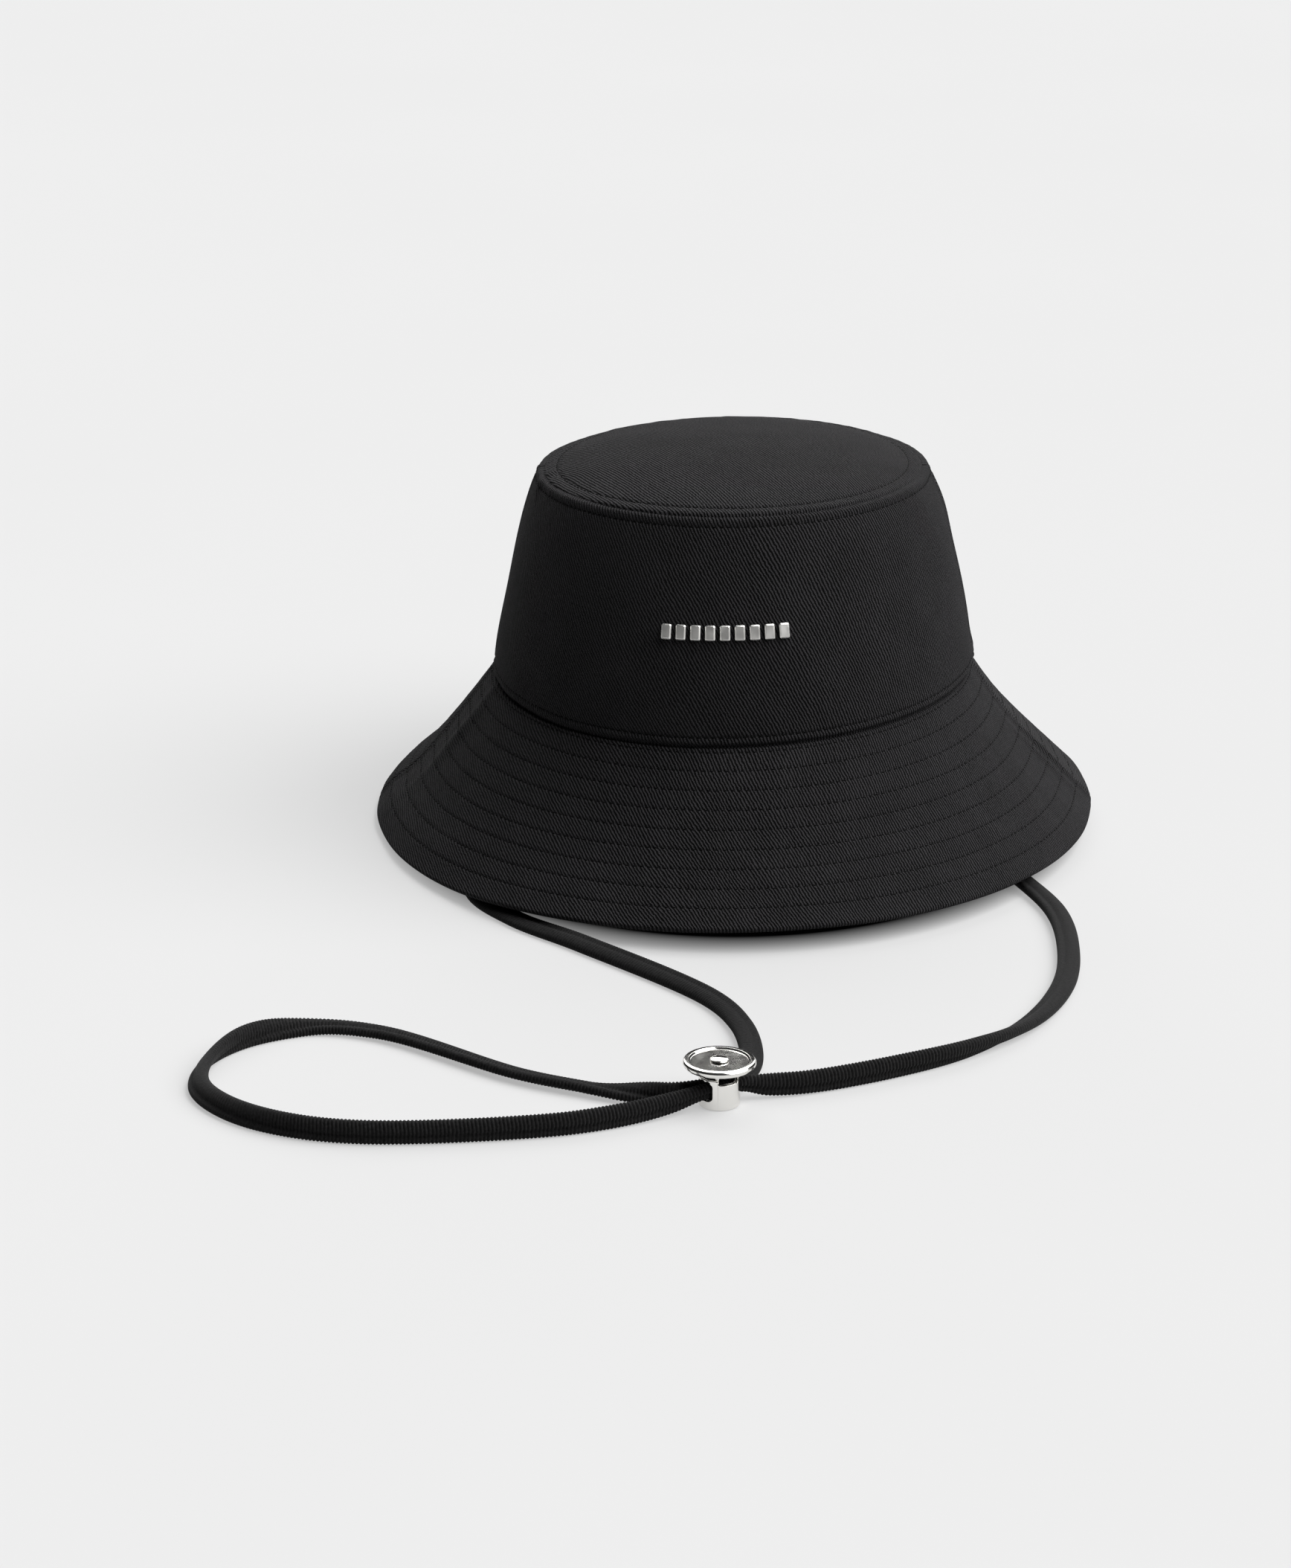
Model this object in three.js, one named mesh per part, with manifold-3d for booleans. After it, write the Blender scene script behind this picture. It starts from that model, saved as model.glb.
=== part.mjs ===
// Bucket hat with a chin cord and a spring cord lock.
// Millimetres, +Z up. The front of the hat faces -Y, its right-hand side as seen from there is +X, and it
// lies on z = 0 with the cord and the lock in front of it. Angles run round +Z from +X, so the front is 270.

import * as THREE from "three";
import { mergeVertices } from "three/addons/utils/BufferGeometryUtils.js";
import Module from "manifold-3d";

const wasm = await Module();
wasm.setup();

// Outline of the outside of the hat: three ovals, as half-width x, half-length y and height.
const BASE_RING = { x: 87.5, y: 101.5, shift: 0, height: 58, riseRight: 2.4, riseFront: 0 };
const TIP_RING = { x: 69.7, y: 80.5, shift: -0.3, height: 132.5, riseRight: 1.4, riseFront: 3 };
const EDGE_RING = { x: 132.9, y: 152.5, shift: 1.3, leftHeight: 1.95, rightRise: 4.7, frontRise: 5 };
const CROWN_BULGE = 0.122; // how far the crown side swells between its seams
const DOME_RISE = 10; // of the crown tip above its seam
const DOME_POWER = 2.17; // higher is flatter in the middle
const BRIM_SAG = 0.042; // of the brim's slope below a straight line, as a share of its width

// Layers, as depths below the outside.
const CROWN_CLOTH = [0, 0.9];
const BRIM_TOP = [0, 0.7];
const BRIM_INTERLINING = [1.0, 1.5];
const BRIM_UNDER = [1.8, 2.5];
const SWEATBAND = [1.3, 2.5];
const LABEL = [3.0, 3.3];
const BACKING = [1.5, 2.2];
const LINING = [3.5, 3.9];

// Where each layer starts and ends, as shares of the way from one seam to the next.
const CROWN_REACH = [0.006, 0.984];
const BRIM_REACH = [0, 1];
const INTERLINING_REACH = [0.01, 0.965];
const SWEATBAND_REACH = [0.008, 0.36];
const LABEL_REACH = [0.1, 0.3];
const BACKING_REACH = [0.455, 0.56];
const LINING_REACH = [0.39, 0.972];
const LINING_TIP_RIM = 0.05;
const LABEL_HALF_ANGLE = 0.12;
const SEAM_HALF_ANGLE = 0.0025; // half of the gap between two panels sewn side by side

// Divisions: round half of the hat, and across a panel.
const HALF_COLUMNS = 22;
const CROWN_ROWS = 5;
const BRIM_ROWS = 4;
const TIP_ROWS = 3;
const LINING_ROWS = 2;

// Metal studs across the front of the crown.
const STUD = { count: 9, pitch: 5.1, width: 2.7, height: 4.5, flat: 0.4, bevel: 0.45, stand: 0.3 };
const STUD_ROW_SHARE = 0.508; // height of the row on the crown side
const STUD_POST_RADIUS = 0.75;
const STUD_HEAD = { radius: 1.35, top: -2.5, thickness: 0.5 };
const STUD_HOLE_RADIUS = 1.05;

// Folded tape tabs that hold the ends of the chin cord inside the side seams.
const TAB = { x: 83, y: -5, width: 12, height: 10, thickness: 1.4, corner: 2, aboveSeam: 0.8 };

// Cord lock. Heights are above the floor, along the lock's own axis.
const LOCK = { x: 3.7, y: -280.3, turn: 32 };
const BARREL = { radius: 6.6, bore: 5.9, floor: 0.7, top: 10.2, round: 0.4 };
const BARREL_SLOT = { width: 8.6, bottom: 2.9, top: 9.1, corner: 1.5 };
const BARREL_WINDOW = { width: 7.4, bottom: 8.6, top: 12, corner: 0.6 };
const PLUNGER = { radius: 5.6, bottom: 2.5, top: 12.5, chamfer: 0.3 };
const PLUNGER_SLOT = { width: 8.3, bottom: 3.2, top: 10.9, corner: 0.8 };
const PLUNGER_WINDOW = { width: 6, bottom: 8.2, top: 10.9, corner: 0.8 };
const RIVET_HOLE = { radius: 1.6, counterbore: 2.4, counterboreTop: 11.7 };
const SPRING = { wire: 0.18, bottom: 1.2, top: 2.0, wide: 4.6, narrow: 2.4, turns: 3, steps: 33 };
const ROUND = 32; // divisions round the lock's turned parts
const POST_SIDES = 8; // of a stud's post, its head and its hole

// The chin cord is a flat woven tube. Each stop of its route is x, y, z of the middle, how far the flat
// side leans up from the floor in degrees, its width and its thickness. It leaves the left tab, passes through
// the lock, loops back through it and ends in the right tab.
const CORD_STOPS = [
  [-83, -5, 44.4, 90, 8.2, 2.4],
  [-82.5, -11, 29, 72, 7.8, 4],
  [-85, -44, 5.5, 20, 7.8, 4],
  [-87.5, -99, 1.7, 0, 8.2, 3.4],
  [-72, -125, 1.8, -8, 8, 3.6],
  [-47, -149, 2, -16, 7.8, 4],
  [-1.5, -197, 2, -14, 7.8, 4],
  [9, -219.5, 2.1, -4, 7.8, 4],
  [13, -243, 2.2, 10, 7.8, 4],
  [12.4, -262, 4.2, 52, 7.2, 3.9],
  [8.6, -274.9, 6.1, 90, 5.2, 3.7],
  [-3.3, -282.3, 6.1, 90, 5.2, 3.7],
  [-11.5, -284.2, 5.2, 78, 6.6, 3.9],
  [-21, -281.2, 3.6, 34, 7.6, 4],
  [-36, -275.6, 2.3, -14, 7.8, 4],
  [-60, -265, 2.3, -18, 7.8, 4],
  [-108, -231.5, 2, -6, 7.8, 4],
  [-131, -228, 2, 12, 7.8, 4],
  [-149, -239.5, 3.7, 74, 7.8, 4],
  [-160, -259.5, 3.4, 124, 7.8, 4],
  [-160.5, -280, 3.1, 138, 7.8, 4],
  [-149.5, -298, 3.5, 126, 7.8, 4],
  [-130, -311.2, 3.8, 106, 7.8, 4],
  [-104, -316.6, 3.9, 96, 7.8, 4],
  [-46, -308.2, 3.9, 90, 7.8, 4],
  [-24, -299, 4.1, 90, 7.8, 4],
  [-11, -291.6, 4.8, 90, 7, 3.9],
  [-1.2, -285.7, 6.1, 90, 5.2, 3.7],
  [10.7, -278.3, 6.1, 90, 5.2, 3.7],
  [19, -275.2, 4.7, 90, 7.4, 3.9],
  [32, -271, 4.1, 90, 7.8, 4],
  [58, -257.7, 3.9, 87, 7.8, 4],
  [83, -240, 3.6, 62, 7.8, 4],
  [103, -214.5, 2.4, 18, 7.8, 4],
  [115.5, -181, 2, 0, 7.8, 4],
  [119, -146, 2, 0, 7.8, 4],
  [116, -109, 2, 0, 7.8, 4],
  [100, -64, 2.2, 0, 7.8, 4],
  [83.5, -13, 31, 70, 7.8, 4],
  [83, -5, 49.2, 90, 8.2, 2.4],
];
const CORD_STEPS_PER_STOP = 2;
const CORD_SIDES = 8;

// Finishes.
const CLOTH = new THREE.MeshStandardMaterial({ color: 0x1d1d20, roughness: 0.9, metalness: 0 });
const LINING_CLOTH = new THREE.MeshStandardMaterial({ color: 0x17171a, roughness: 0.6, metalness: 0 });
const INTERFACING = new THREE.MeshStandardMaterial({ color: 0x2b2b2d, roughness: 0.95, metalness: 0 });
const SATIN_TAPE = new THREE.MeshStandardMaterial({ color: 0x3a3a3e, roughness: 0.5, metalness: 0 });
const CORD_WEAVE = new THREE.MeshStandardMaterial({ color: 0x161618, roughness: 0.85, metalness: 0 });
const POLISHED_METAL = new THREE.MeshStandardMaterial({ color: 0xd2d0cb, roughness: 0.12, metalness: 1 });
const SPRING_STEEL = new THREE.MeshStandardMaterial({ color: 0x9a9a9a, roughness: 0.3, metalness: 1 });

const mix = ([from, to], share) => from + (to - from) * share;
const range = (count) => Array.from({ length: count }, (_, i) => i);

// ---- outside surfaces: (angle, share of the way across) to a point ----

function onRing(ring, angle, height) {
  return new THREE.Vector3(ring.shift + ring.x * Math.cos(angle), ring.y * Math.sin(angle), height);
}

function seamRing(ring, angle) {
  const height = ring.height + ring.riseRight * Math.cos(angle) - ring.riseFront * Math.sin(angle);
  return onRing(ring, angle, height);
}

// The brim's edge touches the floor at the back and on the left, and lifts towards the front and the right.
function edgeRing(angle) {
  const right = (1 + Math.cos(angle)) / 2;
  const front = Math.max(0, -Math.sin(angle)) ** 2;
  const sideShare = Math.sin(angle) > 0 ? right ** 3 : right;
  const height = EDGE_RING.leftHeight + EDGE_RING.rightRise * sideShare + EDGE_RING.frontRise * front;
  return onRing(EDGE_RING, angle, height);
}

// From the brim seam up to the tip seam.
function crownSide(angle, share) {
  const point = seamRing(BASE_RING, angle).lerp(seamRing(TIP_RING, angle), share);
  const swell = 1 + CROWN_BULGE * share ** 0.8 * (1 - share) ** 0.6;
  return point.multiply(new THREE.Vector3(swell, swell, 1));
}

// From the tip seam in to the middle of the top.
function crownTip(angle, share) {
  const point = seamRing(TIP_RING, angle).lerp(new THREE.Vector3(0, 0, TIP_RING.height), share);
  point.z += DOME_RISE * (1 - (1 - share) ** DOME_POWER);
  return point;
}

// From the brim seam out to the edge.
function brim(angle, share) {
  const seam = seamRing(BASE_RING, angle);
  const edge = edgeRing(angle);
  const sag = BRIM_SAG * seam.distanceTo(edge) * 4 * share * (1 - share);
  const point = seam.lerp(edge, share);
  point.z -= sag;
  return point;
}

// Unit directions of a surface at a point: around the hat, along the share, and outwards.
function surfaceFrame(surface, angle, share) {
  const near = Math.min(share, 0.97);
  const step = near < 0.5 ? 1e-3 : -1e-3;
  const point = surface(angle, near);
  const around = surface(angle + 1e-3, near).sub(point).normalize();
  const along = surface(angle, near + step).sub(point).multiplyScalar(Math.sign(step)).normalize();
  const out = around.clone().cross(along).normalize();
  if (out.dot(new THREE.Vector3(point.x, point.y, BASE_RING.x)) < 0) out.negate();
  return { around, along, out };
}

// The point that lies `depth` inside a surface, square to it.
function inside(surface, angle, share, depth) {
  return surface(angle, share).addScaledVector(surfaceFrame(surface, angle, share).out, -depth);
}

// ---- geometry helpers ----

function volume(geometry) {
  const position = geometry.attributes.position;
  const corner = (i) => new THREE.Vector3().fromBufferAttribute(position, geometry.index.getX(i));
  const tetrahedra = range(geometry.index.count / 3).map((t) =>
    corner(3 * t).dot(corner(3 * t + 1).cross(corner(3 * t + 2))),
  );
  return tetrahedra.reduce((sum, v) => sum + v, 0) / 6;
}

// One closed surface with shared vertices and its faces pointing out.
function closed(geometry) {
  geometry.deleteAttribute("uv");
  geometry.deleteAttribute("normal");
  const merged = mergeVertices(geometry, 1e-4);
  if (volume(merged) < 0) merged.index.array.reverse();
  merged.computeVertexNormals();
  return merged;
}

// Moves every vertex of a geometry to where `place` sends it.
function bend(geometry, place) {
  const position = geometry.attributes.position;
  range(position.count).forEach((i) => {
    const moved = place(new THREE.Vector3().fromBufferAttribute(position, i));
    position.setXYZ(i, moved.x, moved.y, moved.z);
  });
  return closed(geometry);
}

// A shell on a surface between two angles, two shares and two depths.
function shell(surface, angles, reach, depths, columns, rows) {
  const block = new THREE.BoxGeometry(1, 1, 1, columns, rows, 1);
  return bend(block, (p) => inside(surface, mix(angles, p.x + 0.5), mix(reach, p.y + 0.5), mix(depths, p.z + 0.5)));
}

// An oval shell on the top, out to a share of the crown tip, between two depths.
function topShell(rim, depths, columns, rows) {
  const radii = range(rows + 1).map((i) => i / rows);
  const lower = radii.map((r) => new THREE.Vector2(r, 0));
  const upper = radii.map((r) => new THREE.Vector2(r, 1)).reverse();
  const lathe = new THREE.LatheGeometry([...lower, ...upper], columns);
  return bend(lathe, (p) => {
    const radius = Math.hypot(p.x, p.z);
    const angle = radius < 1e-6 ? 0 : Math.atan2(p.z, p.x);
    return inside(crownTip, angle, 1 - radius * (1 - rim), mix(depths, p.y));
  });
}

const frontHalf = [Math.PI + SEAM_HALF_ANGLE, 2 * Math.PI - SEAM_HALF_ANGLE];
const backHalf = [SEAM_HALF_ANGLE, Math.PI - SEAM_HALF_ANGLE];
// All the way round, with a butt join at the centre back.
const stripRound = [Math.PI / 2 + SEAM_HALF_ANGLE, 2.5 * Math.PI - SEAM_HALF_ANGLE];

function toSolid(geometry) {
  const mesh = closed(geometry);
  const vertProperties = new Float32Array(mesh.attributes.position.array);
  const triVerts = new Uint32Array(mesh.index.array);
  return new wasm.Manifold(new wasm.Mesh({ numProp: 3, vertProperties, triVerts }));
}

function toGeometry(solid) {
  const mesh = solid.getMesh();
  const geometry = new THREE.BufferGeometry();
  geometry.setAttribute("position", new THREE.BufferAttribute(mesh.vertProperties, 3));
  geometry.setIndex(new THREE.BufferAttribute(mesh.triVerts, 1));
  geometry.computeVertexNormals();
  return geometry;
}

function subtract(geometry, cutters) {
  return toGeometry(cutters.reduce((solid, cutter) => solid.subtract(toSolid(cutter)), toSolid(geometry)));
}

function join(geometries) {
  return toGeometry(geometries.map(toSolid).reduce((whole, piece) => whole.add(piece)));
}

function roundedRectangle(left, right, bottom, top, corner) {
  const shape = new THREE.Shape();
  shape.absarc(right - corner, bottom + corner, corner, -Math.PI / 2, 0);
  shape.absarc(right - corner, top - corner, corner, 0, Math.PI / 2);
  shape.absarc(left + corner, top - corner, corner, Math.PI / 2, Math.PI);
  shape.absarc(left + corner, bottom + corner, corner, Math.PI, 1.5 * Math.PI);
  return shape;
}

// A body turned about +Z from a profile of [radius, height] pairs.
function turned(profile, segments = ROUND) {
  const points = profile.map(([radius, height]) => new THREE.Vector2(radius, height));
  return new THREE.LatheGeometry(points, segments).rotateX(Math.PI / 2);
}

// ---- studs ----

// Places a geometry made about +Z at the middle of a stud, with +Z outwards and +Y up the crown.
function atStud(index, geometry) {
  const angle = 1.5 * Math.PI + ((index - (STUD.count - 1) / 2) * STUD.pitch) / studRowHalfWidth();
  const { around, along, out } = surfaceFrame(crownSide, angle, STUD_ROW_SHARE);
  const up = out.clone().cross(around);
  const matrix = new THREE.Matrix4().makeBasis(around, up.dot(along) < 0 ? up.negate() : up, out);
  return geometry.applyMatrix4(matrix.setPosition(crownSide(angle, STUD_ROW_SHARE)));
}

function studRowHalfWidth() {
  return crownSide(0, STUD_ROW_SHARE).x;
}

function postAt(radius, bottom, top, sides = POST_SIDES) {
  const post = new THREE.CylinderGeometry(radius, radius, top - bottom, sides).rotateX(Math.PI / 2);
  return post.translate(0, 0, (bottom + top) / 2);
}

// A bevelled rectangular plate, its post through the cloth and the clenched head inside.
function studGeometry(index) {
  const { width, height, flat, bevel, stand } = STUD;
  const outline = roundedRectangle(-width / 2, width / 2, -height / 2, height / 2, 0.25);
  const bevels = { bevelThickness: bevel, bevelSize: bevel, bevelSegments: 1 };
  const plate = new THREE.ExtrudeGeometry(outline, { depth: flat, curveSegments: 1, ...bevels });
  const post = postAt(STUD_POST_RADIUS, STUD_HEAD.top - STUD_HEAD.thickness / 2, stand + bevel);
  const head = postAt(STUD_HEAD.radius, STUD_HEAD.top - STUD_HEAD.thickness, STUD_HEAD.top);
  return atStud(index, join([plate.translate(0, 0, stand + bevel), post, head]));
}

function studHoles() {
  return range(STUD.count).map((i) => atStud(i, postAt(STUD_HOLE_RADIUS, -4, 2)));
}

// ---- cloth parts ----

function crownSideFront() {
  const panel = shell(crownSide, frontHalf, CROWN_REACH, CROWN_CLOTH, HALF_COLUMNS, CROWN_ROWS);
  return subtract(panel, studHoles());
}

function studBackingStrip() {
  const halfAngle = (STUD.count * STUD.pitch) / 2 / studRowHalfWidth() + 0.02;
  const angles = [1.5 * Math.PI - halfAngle, 1.5 * Math.PI + halfAngle];
  return subtract(shell(crownSide, angles, BACKING_REACH, BACKING, 9, 1), studHoles());
}

function sizeLabel() {
  const angles = [Math.PI / 2 - LABEL_HALF_ANGLE, Math.PI / 2 + LABEL_HALF_ANGLE];
  return shell(crownSide, angles, LABEL_REACH, LABEL, 4, 2);
}

function brimLayer(half, reach, depths) {
  return shell(brim, half, reach, depths, HALF_COLUMNS, BRIM_ROWS);
}

// ---- chin cord ----

// The route of the cord, with frames that lay its flat section as the stops say.
class CordRoute extends THREE.CatmullRomCurve3 {
  constructor(stops) {
    super(stops.map(([x, y, z]) => new THREE.Vector3(x, y, z)));
    this.sections = new THREE.CatmullRomCurve3(stops.map(([, , , ...section]) => new THREE.Vector3(...section)));
  }

  // Evenly by stops and not by length, so the steps are closest where the stops are, and never in the floor.
  getSpacedPoints(steps) {
    return range(steps + 1).map((i) => {
      const point = this.getPoint(i / steps);
      const [lean, width, thickness] = this.sections.getPoint(i / steps).toArray();
      const rise = THREE.MathUtils.degToRad(lean);
      const resting = Math.hypot((width / 2) * Math.sin(rise), (thickness / 2) * Math.cos(rise));
      return point.setZ(Math.max(point.z, resting));
    });
  }

  // Normals and binormals carry half the width and half the thickness, so the extruded outline has radius 1.
  computeFrenetFrames(steps) {
    const frames = { tangents: [], normals: [], binormals: [] };
    range(steps + 1).forEach((i) => {
      const tangent = this.getTangent(i / steps);
      const [lean, width, thickness] = this.sections.getPoint(i / steps).toArray();
      const level = tangent.clone().cross(new THREE.Vector3(0, 0, 1)).normalize();
      const across = level.applyAxisAngle(tangent, THREE.MathUtils.degToRad(lean));
      frames.tangents.push(tangent);
      frames.normals.push(across.clone().multiplyScalar(width / 2));
      frames.binormals.push(tangent.clone().cross(across).multiplyScalar(thickness / 2));
    });
    return frames;
  }
}

function chinCord() {
  const outline = new THREE.Shape();
  outline.setFromPoints(
    range(CORD_SIDES).map((i) => {
      const angle = (2 * Math.PI * i) / CORD_SIDES;
      return new THREE.Vector2(Math.cos(angle), Math.sin(angle));
    }),
  );
  const steps = (CORD_STOPS.length - 1) * CORD_STEPS_PER_STOP;
  const extrudePath = new CordRoute(CORD_STOPS);
  return closed(new THREE.ExtrudeGeometry(outline, { steps, extrudePath, bevelEnabled: false }));
}

// A folded tape tab that hangs from the side seam beside the sweatband.
function cordTab(side) {
  const { width, height, thickness, corner, aboveSeam } = TAB;
  const top = seamRing(BASE_RING, side > 0 ? 0 : Math.PI).z + aboveSeam;
  const outline = roundedRectangle(-width / 2, width / 2, top - height, top, corner);
  const bevels = { bevelThickness: 0.2, bevelSize: 0.2, bevelOffset: -0.2, bevelSegments: 1 };
  const tab = new THREE.ExtrudeGeometry(outline, { depth: thickness, curveSegments: 1, ...bevels });
  tab.applyMatrix4(new THREE.Matrix4().set(0, 0, 1, 0, 1, 0, 0, 0, 0, 1, 0, 0, 0, 0, 0, 1));
  return closed(tab.translate(side * TAB.x - thickness / 2, TAB.y, 0));
}

// ---- cord lock, about its own axis, with the cord running along X ----

// A cutter of rounded rectangular section through the lock, along X or turned to run along Y.
function passage({ width, bottom, top, corner }, alongY = false) {
  const outline = roundedRectangle(-width / 2, width / 2, bottom, top, corner);
  const length = 4 * BARREL.radius;
  const cutter = new THREE.ExtrudeGeometry(outline, { depth: length, curveSegments: 2, bevelEnabled: false });
  cutter.translate(0, 0, -length / 2).rotateX(Math.PI / 2);
  return alongY ? cutter : cutter.rotateZ(Math.PI / 2);
}

// A cup that stands on the floor, slotted for both strands and cut low at the front and the back.
function lockBarrel() {
  const { radius, bore, floor, top, round } = BARREL;
  const profile = [[0, 0], [radius - round, 0], [radius, round], [radius, top - round], [radius - 0.2, top]];
  const hollow = [[bore + 0.1, top], [bore, top - 0.1], [bore, floor], [0, floor]];
  return subtract(turned([...profile, ...hollow]), [passage(BARREL_SLOT), passage(BARREL_WINDOW, true)]);
}

function lockPlunger() {
  const { radius, bottom, top, chamfer } = PLUNGER;
  const edge = [[radius - chamfer, bottom], [radius, bottom + chamfer], [radius, top - chamfer], [radius - chamfer, top]];
  const drum = turned([[0, bottom], ...edge, [0, top]]);
  const { counterbore, counterboreTop } = RIVET_HOLE;
  const hole = postAt(RIVET_HOLE.radius, counterboreTop - 1, top + 1, ROUND / 2);
  const recess = postAt(counterbore, PLUNGER_SLOT.top - 1, counterboreTop, ROUND / 2);
  return subtract(drum, [passage(PLUNGER_SLOT), passage(PLUNGER_WINDOW, true), hole, recess]);
}

// A conical spring, so that its turns nest flat when the lock is pressed.
function lockSpring() {
  const { wire, bottom, top, wide, narrow, turns, steps } = SPRING;
  const coil = range(steps + 1).map((i) => {
    const share = i / steps;
    const angle = 2 * Math.PI * turns * share;
    const radius = mix([wide, narrow], share);
    return new THREE.Vector3(radius * Math.cos(angle), radius * Math.sin(angle), mix([bottom, top], share));
  });
  const section = new THREE.Shape().absarc(0, 0, wire, 0, 2 * Math.PI);
  const extrudePath = new THREE.CatmullRomCurve3(coil);
  return closed(new THREE.ExtrudeGeometry(section, { steps, extrudePath, curveSegments: 3 }));
}

function lockCap() {
  const under = [[1.6, 12.8], [10.4, 12.8], [11.2, 13.1], [11.6, 13.7], [11.6, 14.4]];
  const over = [[11.2, 15], [10.6, 15.2], [9.7, 15.2], [9.2, 14.6], [1.6, 14.6], [1.6, 12.8]];
  return closed(turned([...under, ...over]));
}

function lockRivet() {
  const tail = [[0, 11], [2.1, 11], [2.1, 11.4], [1.3, 11.4], [1.3, 14.9]];
  const head = [[3, 14.9], [2.9, 15.2], [2.2, 15.6], [1.2, 15.8], [0, 15.9]];
  return closed(turned([...tail, ...head], ROUND / 2));
}

// ---- assembly ----

function part(name, geometry, material) {
  const mesh = new THREE.Mesh(geometry, material);
  mesh.name = name;
  return mesh;
}

function clothParts() {
  const liningSide = shell(crownSide, stripRound, LINING_REACH, LINING, 2 * HALF_COLUMNS, LINING_ROWS);
  const sweatband = shell(crownSide, stripRound, SWEATBAND_REACH, SWEATBAND, 2 * HALF_COLUMNS, LINING_ROWS);
  const crownBack = shell(crownSide, backHalf, CROWN_REACH, CROWN_CLOTH, HALF_COLUMNS, CROWN_ROWS);
  return [
    part("crown_tip", topShell(0, CROWN_CLOTH, 2 * HALF_COLUMNS, TIP_ROWS), CLOTH),
    part("crown_side_front", crownSideFront(), CLOTH),
    part("crown_side_back", crownBack, CLOTH),
    part("brim_top_front", brimLayer(frontHalf, BRIM_REACH, BRIM_TOP), CLOTH),
    part("brim_top_back", brimLayer(backHalf, BRIM_REACH, BRIM_TOP), CLOTH),
    part("brim_interlining_front", brimLayer(frontHalf, INTERLINING_REACH, BRIM_INTERLINING), INTERFACING),
    part("brim_interlining_back", brimLayer(backHalf, INTERLINING_REACH, BRIM_INTERLINING), INTERFACING),
    part("brim_under_front", brimLayer(frontHalf, BRIM_REACH, BRIM_UNDER), CLOTH),
    part("brim_under_back", brimLayer(backHalf, BRIM_REACH, BRIM_UNDER), CLOTH),
    part("lining_tip", topShell(LINING_TIP_RIM, LINING, 2 * HALF_COLUMNS, LINING_ROWS), LINING_CLOTH),
    part("lining_side", liningSide, LINING_CLOTH),
    part("sweatband", sweatband, LINING_CLOTH),
    part("size_label", sizeLabel(), SATIN_TAPE),
  ];
}

function trimParts() {
  return [
    part("stud_backing_strip", studBackingStrip(), INTERFACING),
    ...range(STUD.count).map((i) => part(`stud_${i + 1}`, studGeometry(i), POLISHED_METAL)),
    part("cord_tab_left", cordTab(-1), CORD_WEAVE),
    part("cord_tab_right", cordTab(1), CORD_WEAVE),
    part("chin_cord", chinCord(), CORD_WEAVE),
  ];
}

function cordLock() {
  const lock = new THREE.Group();
  lock.add(
    part("lock_barrel", lockBarrel(), POLISHED_METAL),
    part("lock_plunger", lockPlunger(), POLISHED_METAL),
    part("lock_spring", lockSpring(), SPRING_STEEL),
    part("lock_cap", lockCap(), POLISHED_METAL),
    part("lock_rivet", lockRivet(), POLISHED_METAL),
  );
  lock.position.set(LOCK.x, LOCK.y, 0);
  lock.rotation.z = THREE.MathUtils.degToRad(LOCK.turn);
  return lock;
}

const hat = new THREE.Group();
hat.add(...clothParts(), ...trimParts(), cordLock());

export default hat;
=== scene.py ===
import math

import bmesh
import bpy
import numpy as np
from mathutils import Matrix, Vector


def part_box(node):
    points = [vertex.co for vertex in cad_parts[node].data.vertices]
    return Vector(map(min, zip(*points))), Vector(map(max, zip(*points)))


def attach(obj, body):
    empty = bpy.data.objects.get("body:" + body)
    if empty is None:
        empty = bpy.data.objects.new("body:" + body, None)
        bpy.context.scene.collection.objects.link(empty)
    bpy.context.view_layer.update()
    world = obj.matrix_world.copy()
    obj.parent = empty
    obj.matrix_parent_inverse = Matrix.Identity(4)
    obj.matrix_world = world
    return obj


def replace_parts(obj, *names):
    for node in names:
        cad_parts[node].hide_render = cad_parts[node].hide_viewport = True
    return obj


# Bucket hat with a chin cord and a spring cord lock. Metres, +Z up, the front of the hat faces -Y.
# Every cloth layer is a dense closed sheet on one of three outside surfaces: crown side, crown tip and brim.
# "angle" runs round +Z from +X, so the front is 270 degrees; "share" runs from one seam (0) to the next (1).

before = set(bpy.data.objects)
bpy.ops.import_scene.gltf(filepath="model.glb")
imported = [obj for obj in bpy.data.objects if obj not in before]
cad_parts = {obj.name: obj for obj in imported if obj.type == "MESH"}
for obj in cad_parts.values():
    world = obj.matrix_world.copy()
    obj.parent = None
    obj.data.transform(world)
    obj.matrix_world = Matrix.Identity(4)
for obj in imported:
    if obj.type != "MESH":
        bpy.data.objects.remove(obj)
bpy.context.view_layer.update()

# ---- driving dimensions ----

EDGE_LOW, EDGE_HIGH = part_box("brim_top_front")
BASE_RING = {
    "x": 0.0875, "y": 0.1015, "shift": 0.0,
    "height": 0.058, "rise_right": 0.0024, "rise_front": 0.0,
}
TIP_RING = {
    "x": 0.0697, "y": 0.0805, "shift": -0.0003,
    "height": 0.1325, "rise_right": 0.001, "rise_front": 0.003,
}
EDGE_RING = {
    "x": (EDGE_HIGH.x - EDGE_LOW.x) / 2, "y": -EDGE_LOW.y, "shift": (EDGE_HIGH.x + EDGE_LOW.x) / 2,
    "left_height": 0.00195, "right_rise": 0.0047, "front_rise": 0.005,
}
CROWN_BULGE = 0.122  # strength of the crown side's swell, which adds 5% to its radius at most
DOME_RISE = 0.010  # height of the middle of the crown tip above its seam
DOME_POWER = 2.17
BRIM_SAG = 0.042  # depth of the brim's hollow, as a share of its width

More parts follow.
